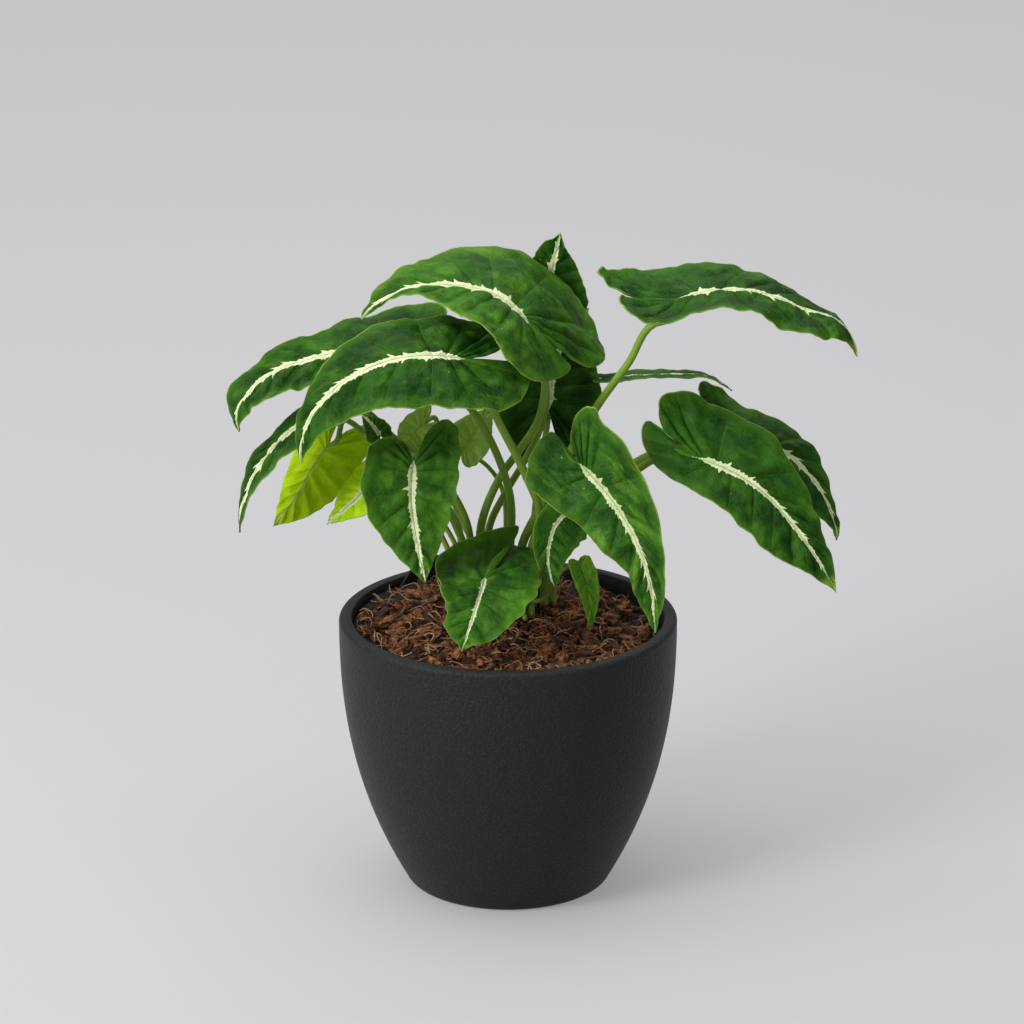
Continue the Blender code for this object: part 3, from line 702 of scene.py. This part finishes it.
def cream_band(made, green, along, start, offset, seed, width):
    """The cream midrib over a green: pointed at the notch, with teeth and a few long spikes."""
    beat = made.math("MULTIPLY_ADD", start, TOOTH_RATE, seed)
    tooth = made.add("TexVoronoi", {"W": beat, "Scale": 1.0}, voronoi_dimensions="1D")
    size = made.add("SeparateColor", {"Color": tooth.outputs["Color"]})
    teeth = made.times(tooth.outputs["Distance"], TOOTH_SHARPNESS)
    teeth = made.math("SUBTRACT", 1.0, teeth, clamp=True)
    reach = made.math("MULTIPLY_ADD", size.outputs["Red"], TOOTH_REACH, LEAST_TOOTH)
    teeth = made.times(teeth, reach)
    slow = made.math("MULTIPLY_ADD", start, SPIKE_RATE, seed)
    spike = made.add("TexVoronoi", {"W": slow, "Scale": 1.0}, voronoi_dimensions="1D")
    chosen = made.add("SeparateColor", {"Color": spike.outputs["Color"]})
    spikes = made.times(spike.outputs["Distance"], SPIKE_SHARPNESS)
    spikes = made.math("SUBTRACT", 1.0, spikes, clamp=True)
    reach = made.times(chosen.outputs["Green"], SPIKE_REACH)
    spikes = made.times(spikes, reach)
    swell = made.noise(made.vector(made.times(start, SWELL_RATE), seed, 0.0), 1.0, 1)
    plain = made.math("MULTIPLY_ADD", swell, SWELL, LEAST_BAND)
    half = made.math("ADD", made.math("ADD", teeth, spikes), plain)
    taper = made.math("POWER", made.math("SUBTRACT", 1.0, along, clamp=True), 0.5)
    taper = made.times(taper, made.ramp(along, -0.03, 0.10))
    half = made.times(half, made.times(taper, width))
    distance = made.math("ABSOLUTE", offset)
    cream = made.ramp(made.math("SUBTRACT", half, distance), -0.05, 0.07)
    drawn_out = made.times(start, 0.08)
    streak_place = made.vector(drawn_out, made.times(offset, 2.4), seed)
    streaks = made.ramp(made.noise(streak_place, 1.0, 2), 0.50, 0.72)
    colour = made.mix(streaks, CREAM, STREAK)
    line = made.times(made.ramp(distance, 0.32, 0.16), 0.4)
    return made.mix(cream, green, made.mix(line, colour, LINE)), cream


def leaf_finish(name, dark, light, edge, mottling, band_width, glow, underside=False):
    """A blade: mottled green, creased along its side veins, with a thin bright margin."""
    made = Finish(name, 0.45)
    start, offset, share = made.attribute("leaf_flat")
    phase, seed, along = made.attribute("leaf_veins")
    place = made.place()

    blotches = made.noise(place, BLOTCH_SCALE, 4)
    colour = made.mix(made.ramp(blotches, 0.36, 0.66), dark, light)
    patches = made.noise(made.vector(start, offset, seed), 0.10, 4, 0.65)
    patch = made.times(made.ramp(patches, 0.48, 0.66), mottling, clamp=True)
    colour = made.mix(patch, colour, edge)

    drawn_out = made.times(share, 2.2)
    ridge_place = made.vector(made.times(phase, 2.0), drawn_out, seed)
    ridges = made.noise(ridge_place, 1.0, 4, 0.6)
    # Painted shade: the colour darkens where the ridge noise sinks, in the same furrows that the bump
    # below makes
    colour = made.mix(made.times(made.ramp(ridges, 0.58, 0.36), 0.55), colour, dark)
    wave = made.math("ABSOLUTE", made.math("SINE", made.times(phase, math.pi)))
    faded = made.ramp(share, 0.99, 0.55)
    shadow = made.times(made.ramp(wave, 0.45, 0.10), made.times(faded, 0.22))
    colour = made.mix(shadow, colour, dark)
    vein = made.times(made.ramp(wave, 0.10, 0.0), faded)
    colour = made.mix(made.times(vein, 0.55 if underside else 0.22), colour, edge)

    net = made.add("TexVoronoi", {"Vector": place, "Scale": NET_SCALE}, feature="DISTANCE_TO_EDGE")
    netting = made.ramp(net.outputs["Distance"], 0.10, 0.0)
    colour = made.mix(made.times(netting, 0.10), colour, edge)
    colour = made.mix(made.times(made.ramp(share, 0.72, 1.0), 0.30), colour, edge)
    colour = made.mix(made.times(made.ramp(share, 0.975, 0.995), 0.7), colour, MARGIN)
    # Painted highlight: the tip is painted lighter where the real tips curl into the light
    if name.startswith("leaf_tipped"):
        colour = made.mix(made.times(made.ramp(along, 0.90, 0.95), 0.9), colour, TIP)

    fleck = made.add("TexVoronoi", {"Vector": place, "Scale": FLECK_SCALE})
    picked = made.add("SeparateColor", {"Color": fleck.outputs["Color"]})
    flecks = made.times(made.ramp(fleck.outputs["Distance"], 0.045, 0.025),
                       made.ramp(picked.outputs["Red"], 0.62, 0.68))
    colour = made.mix(made.times(flecks, 0.55), colour, FLECK)

    height = made.times(made.noise(place, PORE_SCALE, 2), 0.05)
    if band_width:
        colour, cream = cream_band(made, colour, along, start, offset, seed, band_width)
        height = made.math("MULTIPLY_ADD", cream, -0.05, height)
    if underside:
        raised = made.ramp(made.math("ABSOLUTE", offset), 1.1, 0.4)
        raised = made.times(raised, made.ramp(along, -0.02, 0.02))
        colour = made.mix(made.times(raised, 0.5), colour, RAISED)
    height = made.math("MULTIPLY_ADD", netting, -0.10, height)
    height = made.math("MULTIPLY_ADD", vein, -0.25, height)
    height = made.math("MULTIPLY_ADD", ridges, 0.9, height)
    height = made.math("MULTIPLY_ADD", made.noise(place, SKIN_SCALE, 3, 0.55), 0.8, height)
    made.bump(height, 1.0, 0.8)
    made.colour(colour)
    made.rough(made.math("MULTIPLY_ADD", blotches, 0.2, 0.5 if underside else 0.34))
    made.shader.inputs["Specular IOR Level"].default_value = LEAF_SPECULAR
    made.shader.inputs["Subsurface Weight"].default_value = glow
    made.shader.inputs["Subsurface Radius"].default_value = (0.5, 1.0, 0.2)
    made.shader.inputs["Subsurface Scale"].default_value = 0.0012
    return made.material


def stalk_finish(name, foot, top):
    """Green with fine lines along it, from one shade at the foot to another higher up."""
    made = Finish(name, 0.38)
    distance, cosine, sine = made.attribute("tube_place")
    lines = made.noise(made.vector(made.times(distance, 0.03), cosine, sine), 7.0, 3)
    climbing = made.ramp(distance, 4.0, 60.0)
    colour = made.mix(climbing, foot, top)
    colour = made.mix(made.times(made.ramp(lines, 0.4, 0.7), 0.5), colour, STALK_LINES)
    made.colour(colour)
    made.bump(lines, 0.35, 0.7)
    made.shader.inputs["Specular IOR Level"].default_value = STALK_SPECULAR
    made.shader.inputs["Subsurface Weight"].default_value = 0.15
    made.shader.inputs["Subsurface Radius"].default_value = (0.6, 1.0, 0.25)
    made.shader.inputs["Subsurface Scale"].default_value = 0.0015
    return made.material


def planter_finish():
    """Charcoal with a fine pebbled grain and tiny pale specks."""
    made = Finish("planter", 0.5)
    place = made.place()
    cells = {"Vector": place, "Scale": PLANTER_GRAIN_SCALE}
    grain = made.add("TexVoronoi", cells, feature="SMOOTH_F1")
    soft = made.noise(place, PLANTER_SHEEN_SCALE, 4, 0.6)
    fine = made.noise(place, PLANTER_FINE_SCALE, 3, 0.6)
    height = made.math("MULTIPLY_ADD", grain.outputs["Distance"], 0.8, fine)
    specks = made.add("TexVoronoi", {"Vector": place, "Scale": SPECK_SCALE})
    picked = made.add("TexWhiteNoise", {"Vector": specks.outputs["Color"]})
    speck = made.times(made.ramp(specks.outputs["Distance"], 0.16, 0.08),
                      made.ramp(picked.outputs["Value"], 0.93, 0.98))
    pebbles = made.ramp(grain.outputs["Distance"], 0.45, 0.15)
    colour = made.mix(pebbles, (0.023, 0.0232, 0.0240), (0.033, 0.0333, 0.0343))
    made.colour(made.mix(speck, colour, (0.09, 0.09, 0.093)))
    made.bump(height, 0.45, 1.0)
    made.rough(made.math("MULTIPLY_ADD", soft, 0.2, 0.36))
    made.shader.inputs["Specular IOR Level"].default_value = PLANTER_SPECULAR
    return made.material


def nursery_finish():
    """Thin black plastic."""
    made = Finish("nursery_pot", 0.4)
    place = made.place()
    soft = made.noise(place, 160, 3)
    made.colour(made.mix(soft, (0.007, 0.007, 0.007), (0.014, 0.014, 0.014)))
    made.bump(made.noise(place, 700, 2), 0.06, 0.5)
    made.rough(made.math("MULTIPLY_ADD", soft, 0.2, 0.32))
    return made.material


def soil_finish(name, dark, light, scale):
    """Rough and dull, mottled from dark to light."""
    made = Finish(name, 0.95)
    place = made.place()
    crumbs = made.noise(place, scale, 6, 0.65)
    made.colour(made.mix(made.ramp(crumbs, 0.35, 0.68), dark, light))
    made.bump(crumbs, 1.2, 0.9)
    made.rough(made.math("MULTIPLY_ADD", crumbs, -0.2, 0.98))
    return made.material


# ---------------------------------------------------------------- pieces


def leaf_piece(leaf, finishes):
    """A fine blade for its plain solid: two halves that share the midrib, and a paler underside."""
    points, faces, flat, veins = [], [], [], []
    for side in (0, 1):
        grid, *facts = half_blade(leaf, side)
        faces.append(quads(*grid.shape[:2], flip=side == 1) + sum(map(len, points)))
        for kept, values in zip((points, flat, veins), (grid, *facts)):
            kept.append(values.reshape(-1, 3))
    attributes = {"leaf_flat": np.concatenate(flat), "leaf_veins": np.concatenate(veins)}
    data = mesh_of(leaf.name, np.concatenate(points), np.concatenate(faces), attributes)
    obj = add_piece(leaf.name + "_blade", data, finishes[leaf.finish], [leaf.name])
    shell = obj.modifiers.new("Thickness", "SOLIDIFY")
    shell.thickness = BLADE_THICKNESS * MM
    shell.offset = 0
    shell.material_offset = 1


def stalk_line(stalk, leaf):
    """The stalk's centre line: up from beside its stem, along its way, to its blade's notch."""
    bearing = math.radians(stalk.bearing)
    stem_x, stem_y = STEMS[stalk.stem]
    x = stem_x + RING_RADIUS * math.cos(bearing)
    y = stem_y + RING_RADIUS * math.sin(bearing)
    foot = soil_height(x, y) + FOOT_GAP
    rib = Midrib(leaf)
    up, along = rib.up[0], rib.along[0]
    below = BLADE_THICKNESS / 2 + GAP + END_BELOW * stalk.radius
    end = rib.points[0] - up * below + along * stalk.radius * END_BEYOND
    approach = end - unit(up * BEND_UP + along * BEND_ALONG) * BEND_RADII * stalk.radius
    route = [(x, y, foot), (x, y, foot + STALK_FOOT_RISE), *stalk.way, approach, end]
    return through(route, np.linspace(0, 1, STALK_RINGS))


def stalk_piece(stalk, leaf, finish):
    """A fine stalk in place of its plain solid."""
    name = stalk.leaf + "_stalk"
    line = stalk_line(stalk, leaf)
    share = np.linspace(0, 1, len(line))
    radii = stalk.radius * (STALK_FOOT_WIDTH - STALK_TAPER * share)
    radii[-len(STALK_END):] *= STALK_END
    points, faces, place = tube(line, radii, STALK_SIDES)
    data = mesh_of(name, points, faces_padded(faces), {"tube_place": place})
    add_piece(name + "_tube", data, [finish], [name])


def faces_padded(faces):
    """Faces of any length as rows of one length, each repeating its last corner."""
    longest = max(map(len, faces))
    return [tuple(face) + (face[-1],) * (longest - len(face)) for face in faces]


def stem_piece(name, finish):
    """A short stem that stands in the soil and carries the stalks round it."""
    x, y = STEMS[name]
    surface = soil_height(x, y)
    line = [(x, y, surface + level) for level in STEM_LEVELS]
    radii = [STEM_RADIUS] * 3 + [STEM_NARROWING * STEM_RADIUS, STEM_TOP_RADIUS]
    points, faces, place = tube(line, radii, STEM_SIDES)
    data = mesh_of(name, points, faces_padded(faces), {"tube_place": place})
    add_piece(name + "_stub", data, [finish], [name])


def planter_piece(finish):
    """The planter, turned finely from the sizes of its solid."""
    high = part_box("planter")[1]
    rim, height = high.x / MM, high.z / MM

    def outer(at):
        return rim - TAPER * (1 - at / height) ** TAPER_POWER

    def arc(radius, level, size, start, end):
        angles = np.linspace(start, end, ARC_STEPS)
        return [(radius + size * math.cos(a), level + size * math.sin(a)) for a in angles]

    profile = [(0, FLOOR)]
    profile += [(outer(at) - WALL, at) for at in np.linspace(FLOOR, WALL_TOP, INNER_STEPS)]
    profile += [(rim - WALL, height - RIM_BEVEL), (rim - WALL + RIM_BEVEL, height)]
    profile += arc(rim - RIM_ROUND, height - RIM_ROUND, RIM_ROUND, math.pi / 2, 0)
    profile += [(outer(at), at) for at in np.linspace(WALL_TOP, WALL_FOOT, OUTER_STEPS)]
    lean = math.atan(TAPER * TAPER_POWER / height)
    foot = outer(0) - FOOT_ROUND * (1 / math.cos(lean) - math.tan(lean))
    profile += arc(foot, FOOT_ROUND, FOOT_ROUND, -lean, -math.pi / 2)
    profile += [(0.5 * foot, 0), (0, 0)]
    radius, level = np.array(profile).T
    angle = np.linspace(0, math.tau, PLANTER_STEPS + 1)
    around = (np.cos(angle), np.sin(angle), np.ones_like(angle))
    points = np.stack([np.outer(a, b) for a, b in zip((radius, radius, level), around)], -1)
    faces = quads(len(profile), PLANTER_STEPS + 1)
    data = mesh_of("planter", points.reshape(-1, 3), faces)
    add_piece("planter_turned", data, [finish], ["planter"])


def soil_edge(angle):
    """How far the soil reaches: to the planter's wall, but inside the nursery pot's raised lug."""
    away = abs((angle - LUG_CENTRE + math.pi) % math.tau - math.pi)
    return SOIL_EDGE_AT_LUG if away < LUG_HALF_WIDTH else SOIL_EDGE


def ground(x, y):
    """The height of the uneven soil."""
    rough = noise.fractal(Vector((x, y, 0)) * GROUND_RATE, *GROUND_NOISE)
    return soil_height(x, y) + GROUND_RISE * rough - GROUND_DROP


def soil_piece(finish):
    """The heaped surface of the soil, with a plain underside below the pots' rims."""
    rings, spokes = SOIL_RINGS, SOIL_SPOKES
    points, faces = [], []
    for ring in range(rings + 1):
        for spoke in range(spokes):
            angle = math.tau * spoke / spokes
            radius = soil_edge(angle) * ring / rings
            x, y = radius * math.cos(angle), radius * math.sin(angle)
            points.append((x, y, ground(x, y)))
    for ring in range(rings):
        for spoke in range(spokes):
            following = (spoke + 1) % spokes
            low, high = ring * spokes, (ring + 1) * spokes
            faces.append((low + spoke, high + spoke, high + following, low + following))
    data = mesh_of("soil", points, faces)
    obj = add_piece("soil_surface", data, [finish], ["soil"])
    shell = obj.modifiers.new("Depth", "SOLIDIFY")
    shell.thickness = SOIL_DEPTH * MM
    shell.offset = -1


def on_soil(chance, margin):
    """A random place on the soil, clear of the wall by a margin."""
    angle = chance.uniform(0, math.tau)
    radius = (soil_edge(angle) - margin) * math.sqrt(chance.random())
    return radius * math.cos(angle), radius * math.sin(angle)


def joined(parts):
    """Many small shapes as one list of points and one of faces."""
    points, faces = [], []
    for some_points, some_faces in parts:
        base = len(points)
        points.extend(some_points)
        faces.extend(tuple(corner + base for corner in face) for face in some_faces)
    return points, faces


def litter_pieces(groups, finishes, mesh_name, name, flat=False):
    """A piece for each finish, holding all the small shapes of its group."""
    for number, (group, finish) in enumerate(zip(groups, finishes)):
        points, faces = joined(group)
        data = mesh_of(f"{mesh_name}_{number}", points, faces_padded(faces))
        if flat:
            data.shade_flat()
        add_piece(f"{name}_{number}", data, [finish])


def turned(points, angle, first, second):
    """Rows of points turned by an angle, from one axis towards another."""
    turning = np.eye(3)
    turning[first, first] = turning[second, second] = math.cos(angle)
    turning[first, second], turning[second, first] = math.sin(angle), -math.sin(angle)
    return points @ turning


def chips_piece(finishes):
    """Bark chips: flat splinters, each with a shape and a lie of its own."""
    chance = random.Random(CHIP_SEED)
    groups = [[] for _ in finishes]
    for _ in range(CHIPS):
        length = chance.triangular(*CHIP_LENGTHS)
        width, depth = length * chance.uniform(*CHIP_WIDTHS), length * chance.uniform(*CHIP_DEPTHS)
        x, y = on_soil(chance, length * CHIP_CLEARANCE + CHIP_CLEARANCE)
        turn, tip = chance.uniform(0, math.tau), chance.uniform(-CHIP_TIP, CHIP_TIP)
        points, faces = splinter(chance, np.array([length, width, depth]) / 2)
        lying = turned(turned(points, tip, 2, 0), turn, 0, 1)
        lying += (x, y, ground(x, y) + chance.uniform(*CHIP_LIFTS))
        groups[chance.randrange(len(groups))].append((lying.tolist(), faces))
    litter_pieces(groups, finishes, "bark", "bark_chips", flat=True)


def splinter(chance, size):
    """A flat slab of bark with broken edges, of half the given size each way from its middle."""
    sides = CHIP_SIDES
    points = []
    reaches = [chance.uniform(*CHIP_REACHES) for _ in range(sides)]
    for level in (-1.0, 0.0, 1.0):
        for number, reach in enumerate(reaches):
            angle = math.tau * number / sides
            reach *= chance.uniform(*CHIP_CHIPPING)
            height = level * chance.uniform(*CHIP_HEIGHTS)
            points.append((reach * math.cos(angle), reach * math.sin(angle), height))
    faces = [tuple(range(sides - 1, -1, -1)), tuple(range(2 * sides, 3 * sides))]
    for number in range(sides):
        following = (number + 1) % sides
        for ring in (0, 1):
            low, high = ring * sides, (ring + 1) * sides
            faces.append((low + number, low + following, high + following, high + number))
    return np.array(points) * size, faces


def fibres_piece(finishes):
    """Coir fibres: thin curved strands lying on and among the bark."""
    chance = random.Random(FIBRE_SEED)
    groups = [[] for _ in finishes]
    for _ in range(FIBRES):
        x, y = on_soil(chance, FIBRE_CLEARANCE)
        heading = chance.uniform(0, math.tau)
        turning = chance.uniform(-FIBRE_TURN, FIBRE_TURN)
        step = chance.uniform(*FIBRE_STEPS)
        rise = chance.uniform(*FIBRE_RISES)
        line = []
        count = chance.randint(*FIBRE_COUNTS)
        for number in range(count):
            turning += chance.uniform(-FIBRE_WANDER, FIBRE_WANDER)
            heading += turning
            x += step * math.cos(heading)
            y += step * math.sin(heading)
            if math.hypot(x, y) > soil_edge(math.atan2(y, x)) - 1:
                break
            arch = math.sin(math.pi * number / (count - 1))
            line.append((x, y, ground(x, y) + FIBRE_LIFT + rise * arch))
        if len(line) < FIBRE_LEAST:
            continue
        radii = np.full(len(line), chance.uniform(*FIBRE_RADII))
        radii[-1] *= FIBRE_TIP
        points, faces, _ = tube(line, radii, FIBRE_SIDES)
        groups[chance.choices(range(len(groups)), FIBRE_SHARES)[0]].append((points, faces))
    litter_pieces(groups, finishes, "coir", "coir_fibres")


# ---------------------------------------------------------------- stage


def make_stage():
    """A wide pale floor, which is all that the camera sees behind the plant."""
    points = [(x, y, 0.0) for y in (-FLOOR_REACH, FLOOR_REACH) for x in (-FLOOR_REACH, FLOOR_REACH)]
    data = mesh_of("floor", points, [(0, 1, 3, 2)])
    made = Finish("floor", 0.9)
    cloud = made.noise(made.place(), 2.0, 2)
    made.colour(made.mix(cloud, (0.345, 0.345, 0.350), (0.365, 0.365, 0.370)))
    ray = made.add("LightPath").outputs
    seen = made.math("MAXIMUM", ray["Is Camera Ray"], ray["Is Glossy Ray"])
    seen = made.math("MAXIMUM", seen, ray["Is Transmission Ray"])
    made.shader.inputs["Emission Color"].default_value = (0.98, 0.98, 1.0, 1)
    made.feed(made.shader.inputs["Emission Strength"], made.times(seen, FLOOR_GLOW))
    data.materials.append(made.material)
    floor = bpy.data.objects.new("floor", data)
    bpy.context.scene.collection.objects.link(floor)


def soft_light(name, place, size, watts, aim):
    """An area light at a place, turned towards its aim."""
    data = bpy.data.lights.new(name, "AREA")
    data.shape = "RECTANGLE"
    data.size, data.size_y = size
    data.energy = watts
    light = bpy.data.objects.new(name, data)
    bpy.context.scene.collection.objects.link(light)
    light.location = place
    light.rotation_euler = (Vector(aim) - Vector(place)).to_track_quat("-Z", "Y").to_euler()


def make_light():
    """A pale world, a little brighter where the camera sees it, and soft lights."""
    world = bpy.data.worlds.new("studio")
    bpy.context.scene.world = world
    world.use_nodes = True
    tree = world.node_tree
    background = tree.nodes["Background"]
    background.inputs["Color"].default_value = (0.95, 0.96, 1.0, 1)
    ray = tree.nodes.new("ShaderNodeLightPath")
    level = tree.nodes.new("ShaderNodeMath")
    level.operation = "MULTIPLY_ADD"
    level.inputs[1].default_value = WORLD_SEEN
    level.inputs[2].default_value = WORLD_LEVEL
    tree.links.new(ray.outputs["Is Camera Ray"], level.inputs[0])
    tree.links.new(level.outputs[0], background.inputs["Strength"])
    for facts in LIGHTS:
        soft_light(*facts)


def main():
    """The whole scene, piece by piece."""
    bpy.context.scene.view_settings.view_transform = "Standard"
    make_camera()
    finishes = {}
    for name, (dark, light, edge, mottling, band, glow) in LOOKS.items():
        upper = leaf_finish(name, dark, light, edge, mottling, band, glow)
        pale = [tuple((a + b) / 2 for a, b in zip(shade, edge)) for shade in (dark, light, edge)]
        under = leaf_finish(name + "_under", *pale, mottling, 0.0, glow, underside=True)
        finishes[name] = [upper, under]
    leaves = {leaf.name: leaf for leaf in LEAVES}
    for leaf in LEAVES:
        leaf_piece(leaf, finishes)
    stalk_green = stalk_finish("stalk", (0.36, 0.48, 0.09), (0.25, 0.43, 0.036))
    for stalk in STALKS:
        stalk_piece(stalk, leaves[stalk.leaf], stalk_green)
    stem_green = stalk_finish("stem", (0.15, 0.17, 0.05), (0.18, 0.24, 0.06))
    for name in STEMS:
        stem_piece(name, stem_green)
    planter_piece(planter_finish())
    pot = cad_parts["nursery_pot"]
    pot.data.materials.clear()
    pot.data.materials.append(nursery_finish())
    # The ground between the chips is painted near black: the soil's own dark brown, darkened further
    # as painted shade in the gaps between the chips
    soil_piece(soil_finish("soil", (0.004, 0.002, 0.001), (0.024, 0.011, 0.005), SOIL_SCALE))
    chips_piece([soil_finish(name, *shades, BARK_SCALE) for name, shades in BARK.items()])
    fibres_piece([soil_finish(name, *shades, COIR_SCALE) for name, shades in COIR.items()])
    make_stage()
    make_light()


main()
